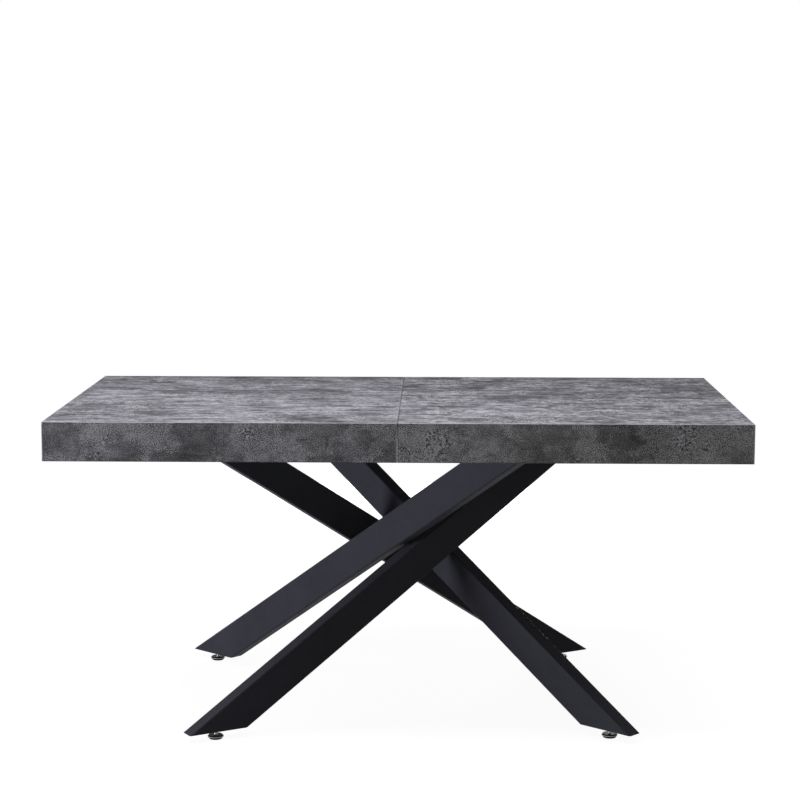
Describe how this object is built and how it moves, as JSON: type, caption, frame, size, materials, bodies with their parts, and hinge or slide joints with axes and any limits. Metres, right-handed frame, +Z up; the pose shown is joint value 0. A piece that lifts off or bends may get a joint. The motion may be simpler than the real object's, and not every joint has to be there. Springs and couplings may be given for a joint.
{
  "type": "extendable dining table",
  "caption": "Extendable dining table: a split concrete-look top slides apart on rails over crossing black steel tube legs on levelling glides, with a spare leaf stowed beneath.",
  "frame": {"origin": "on the floor under the middle of the closed top", "axes": "+X along the length to the right, -Y towards the viewer at the front, +Z up"},
  "size_m": [1.6, 0.9, 0.75],
  "materials": {
    "laminate": "matte concrete-look laminate on board",
    "coated_steel": "black satin powder coat",
    "rail_metal": "mill-finish extrusion",
    "zinc_steel": "bright zinc plate",
    "nylon": "natural nylon",
    "glide_plastic": "black moulded plastic",
    "beech": "planed beech",
    "felt": "pressed felt"
  },
  "bodies": {
    "base": {"leg_a": "coated_steel", "leg_b": "coated_steel", "leg_c": "coated_steel", "leg_d": "coated_steel", "crossing_welds": "coated_steel", "head_plate_a": "coated_steel", "head_plate_b": "coated_steel", "head_plate_c": "coated_steel", "head_plate_d": "coated_steel", "foot_plates": "coated_steel", "foot_nuts": "zinc_steel", "head_bolts": "zinc_steel", "beam_nuts": "zinc_steel", "beam_left_outer": "coated_steel", "beam_left_inner": "coated_steel", "beam_right_inner": "coated_steel", "beam_right_outer": "coated_steel", "front_rail": "rail_metal", "back_rail": "rail_metal", "rail_bolts": "zinc_steel", "rail_stops": "zinc_steel", "extension_leaf": "laminate", "leaf_dowels": "beech", "leaf_pads": "felt"},
    "left_half": {"left_panel": "laminate", "left_front_apron": "laminate", "left_back_apron": "laminate", "left_end_apron": "laminate", "left_front_runner": "rail_metal", "left_back_runner": "rail_metal", "left_shoes": "nylon", "left_screws": "zinc_steel", "left_corner_blocks": "beech", "front_latch_base": "zinc_steel", "back_latch_base": "zinc_steel"},
    "right_half": {"right_panel": "laminate", "right_front_apron": "laminate", "right_back_apron": "laminate", "right_end_apron": "laminate", "right_front_runner": "rail_metal", "right_back_runner": "rail_metal", "right_shoes": "nylon", "right_screws": "zinc_steel", "right_corner_blocks": "beech", "seam_dowels": "beech", "front_keeper": "zinc_steel", "back_keeper": "zinc_steel"},
    "front_latch": {"front_latch_lever": "zinc_steel"},
    "back_latch": {"back_latch_lever": "zinc_steel"},
    "glide_a": {"glide_stem_a": "zinc_steel", "glide_pad_a": "glide_plastic"},
    "glide_b": {"glide_stem_b": "zinc_steel", "glide_pad_b": "glide_plastic"},
    "glide_c": {"glide_stem_c": "zinc_steel", "glide_pad_c": "glide_plastic"},
    "glide_d": {"glide_stem_d": "zinc_steel", "glide_pad_d": "glide_plastic"}
  },
  "joints": [
    {"name": "left_half_slide", "type": "slide", "parent": "base", "child": "left_half", "axis": [-1, 0, 0], "range_m": [0, 0.2]},
    {"name": "right_half_slide", "type": "slide", "parent": "base", "child": "right_half", "axis": [1, 0, 0], "range_m": [0, 0.2]},
    {"name": "front_latch_turn", "type": "hinge", "parent": "left_half", "child": "front_latch", "pos_m": [-0.032, -0.31, 0.7187], "axis": [0, 0, 1], "range_deg": [0, 90]},
    {"name": "back_latch_turn", "type": "hinge", "parent": "left_half", "child": "back_latch", "pos_m": [-0.032, 0.31, 0.7187], "axis": [0, 0, -1], "range_deg": [0, 90]},
    {"name": "glide_a_turn", "type": "hinge", "parent": "base", "child": "glide_a", "pos_m": [-0.42185, -0.37981, 0.02], "axis": [0, 0, 1], "continuous": true},
    {"name": "glide_b_turn", "type": "hinge", "parent": "base", "child": "glide_b", "pos_m": [-0.49367, 0.34822, 0.02], "axis": [0, 0, 1], "continuous": true},
    {"name": "glide_c_turn", "type": "hinge", "parent": "base", "child": "glide_c", "pos_m": [0.49367, -0.34822, 0.02], "axis": [0, 0, 1], "continuous": true},
    {"name": "glide_d_turn", "type": "hinge", "parent": "base", "child": "glide_d", "pos_m": [0.42185, 0.37981, 0.02], "axis": [0, 0, 1], "continuous": true}
  ]
}
